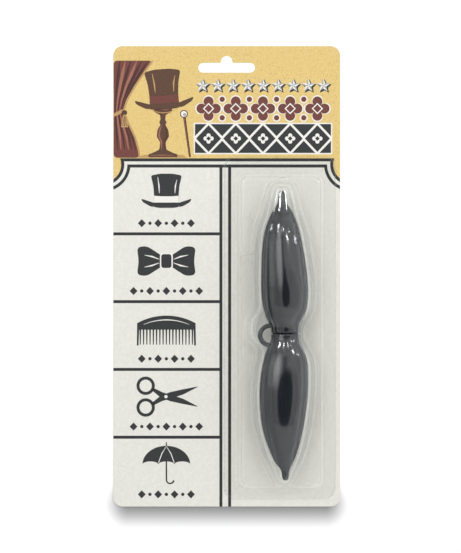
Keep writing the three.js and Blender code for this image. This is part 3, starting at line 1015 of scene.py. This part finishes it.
# What the cells hold from the top down: (motif, its size, how many marks are under it)
CELL_MOTIFS = [
    (print_black_hat, 1.0, 7), (print_bow_tie, 1.25, 9), (print_comb, 1.2, 7), (print_scissors, 1.15, 9),
    (print_umbrella, 1.0, 7),
]


def print_cells():
    """One motif for each cell of the left column, with a row of marks under it."""
    middle = (card_low.x / MM + COLUMN_LEFT_MM) / 2
    for k, (draw_motif, size, marks) in enumerate(CELL_MOTIFS):
        y = CELL_TOP_MM - CELL_PITCH_MM * (k + 0.5)
        draw_motif(Drawing(middle, y + MOTIF_UP_MM, size))
        print_marks(middle, y - MARKS_DOWN_MM, marks)


def make_print():
    """All the artwork, as one thin piece for each ink."""
    for draw_part in (print_stars, print_foils, print_diamonds, print_curtain, print_hat_stand, print_cells):
        draw_part()
    for name, tones in INKS.items():
        piece(f"print_{name}", sheets[name], ink_finish(f"{name}_ink", *tones), smooth=False)


# Studio

FRAME_HEIGHT = 553
PIXEL_MM = 0.561
CAMERA_HEIGHT = 3.0
LOOKS_AT = Vector((2.13, -0.11, 0)) * MM


def make_camera():
    """Looks straight down on the card with a long lens."""
    data = bpy.data.cameras.new("camera")
    data.lens = data.sensor_width * CAMERA_HEIGHT / (FRAME_HEIGHT * PIXEL_MM * MM)
    data.clip_end = 100
    camera = bpy.data.objects.new("camera", data)
    camera.location = LOOKS_AT + UP * (CAMERA_HEIGHT + CARD_TOP)
    bpy.context.scene.collection.objects.link(camera)
    bpy.context.scene.camera = camera


FLOOR_HALF = 30
FLOOR_DROP = 0.01 * MM  # how far the floor lies under the card's back
# The soft shadow painted on the floor along the card's lower edge: how far it reaches, how far it stops
# short of the card's sides, and how dark it is at most
PAINTED_SHADOW_REACH_MM = 17.5
PAINTED_SHADOW_INSET_MM = 8.6
PAINTED_SHADOW_DEPTH = 0.745


def make_floor():
    """A wide pale floor, with a soft shadow painted along the card's lower edge."""
    mesh = bmesh.new()
    bmesh.ops.create_grid(mesh, x_segments=8, y_segments=8, size=FLOOR_HALF)
    bmesh.ops.translate(mesh, vec=(0, 0, card_low.z - FLOOR_DROP), verts=mesh.verts)
    data = bpy.data.meshes.new("floor")
    mesh.to_mesh(data)
    mesh.free()
    paint = paint_for("pale_floor")
    grain = paint.noise(paint.place((MM, MM, MM)), 3.0, 3)
    x, y, _ = paint.parts(paint.place())
    # Painted shadow: the floor's colour darkens near the card's lower edge and fades over the reach
    past_end = (abs(x) - (card_high.x / MM - PAINTED_SHADOW_INSET_MM)).most(0)
    below = y - (card_low.y / MM + 1)
    away = (past_end * past_end + below * below) ** 0.5
    shade = (1 - away.rise(0, PAINTED_SHADOW_REACH_MM)) * PAINTED_SHADOW_DEPTH
    sheet = paint.mix(grain, (0.93, 0.93, 0.93), (0.95, 0.95, 0.95))
    shader = paint.node("ShaderNodeBsdfPrincipled", {}, {
        "Base Color": paint.mix(shade, sheet, (0.02, 0.02, 0.022)),
        "Roughness": 0.9,
        "Specular IOR Level": 0.1,
    })
    data.materials.append(paint.finish(shader))
    floor = bpy.data.objects.new("floor", data)
    bpy.context.scene.collection.objects.link(floor)


# The bright studio dome and what is in it, as directions: how far a direction leans from straight up, in
# degrees to the right (x) and to the top of the picture (y)
DOME = 1.12
DARK_OVAL = {"x": 5, "y": -5, "wide": 20, "high": 12}
DARK_BAR = {"x": 0, "wide": 4.2, "low": -4, "high": 18.5, "depth": 0.6}
SOFT_KEY = {"x": -23, "y": 12, "wide": 13, "high": 10, "strength": 2.9}


def make_dome():
    """A bright dome with a dark oval and bar straight above, where the camera's own stand keeps light out."""
    world = bpy.data.worlds.new("studio")
    bpy.context.scene.world = world
    paint = Paint(world)
    way = paint.node("ShaderNodeTexCoord")
    x, y, z = paint.parts(way)
    up = z.most(0.02)
    lean_x = (x / up).maths("ARCTANGENT") * (180 / math.pi)
    lean_y = (y / up).maths("ARCTANGENT") * (180 / math.pi)

    def oval(place, soft):
        across = (lean_x - place["x"]) / place["wide"]
        along = (lean_y - place["y"]) / place["high"]
        return 1 - (across * across + along * along).rise(1 - soft, 1 + soft)

    bar = 1 - abs(lean_x - DARK_BAR["x"]).rise(DARK_BAR["wide"] - 1, DARK_BAR["wide"] + 1)
    bar = bar * lean_y.band(DARK_BAR["low"], DARK_BAR["high"], 1.5) * DARK_BAR["depth"]
    overhead = z.rise(0.1, 0.2)
    dark = oval(DARK_OVAL, 0.08).most(bar) * overhead
    # The dome is brighter on the right, and dark low down on the left
    side = x.rise(-0.6, 0.6) * 0.34 + 0.84
    rim = (x * -1).rise(0.75, 0.9) * z.band(0.1, 0.36, 0.04) * 0.95
    key = oval(SOFT_KEY, 0.9) * SOFT_KEY["strength"] * overhead
    light = DOME * side * (1 - dark * 0.97) * (1 - rim) + key
    shine = paint.node("ShaderNodeBackground", {}, {"Color": (1.0, 1.0, 1.0), "Strength": light})
    paint.node("ShaderNodeOutputWorld", {}, {"Surface": shine})


LAMP_HEIGHT = 0.365
# The lamps above the pack, which glint in the lower lobe's shoulder and the upper tip
LAMPS = {
    "shoulder_lamp_left": {"x": -0.146, "y": 0.198, "wide": 0.078, "high": 0.022, "radiance": 42},
    "shoulder_lamp_right": {"x": 0.236, "y": 0.138, "wide": 0.07, "high": 0.022, "radiance": 38},
    "tip_lamp_left": {"x": -0.004, "y": 0.161, "wide": 0.012, "high": 0.012, "radiance": 75},
    "tip_lamp_right": {"x": 0.09, "y": 0.165, "wide": 0.012, "high": 0.012, "radiance": 75},
}


def make_lamps():
    """Small oval lamps close above the pack, turned towards its waist."""
    aim = (loop_low + loop_high) / 2
    for name, lamp_row in LAMPS.items():
        data = bpy.data.lights.new(name, "AREA")
        data.shape = "ELLIPSE"
        data.size, data.size_y = lamp_row["wide"], lamp_row["high"]
        data.energy = lamp_row["radiance"] * lamp_row["wide"] * lamp_row["high"] * (math.pi / 2) ** 2
        place = Vector((lamp_row["x"], lamp_row["y"], LAMP_HEIGHT))
        away = (place - aim).normalized()
        across = (Vector((1, 0, 0)) - away * away.x).normalized()
        lamp = bpy.data.objects.new(name, data)
        turn = Matrix((across, away.cross(across), away)).transposed().to_4x4()
        lamp.matrix_world = Matrix.Translation(place) @ turn
        lamp.visible_camera = False
        bpy.context.scene.collection.objects.link(lamp)


make_camera()
make_dome()
make_lamps()
make_floor()

vinyl = vinyl_finish()
for lobe in ("upper_lobe", "lower_lobe"):
    make_lobe(lobe, vinyl)
make_loop(vinyl)
make_film(film_finish())
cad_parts["card"].material_slots[0].material = card_finish()
make_print()

bpy.context.scene.view_settings.view_transform = "Standard"
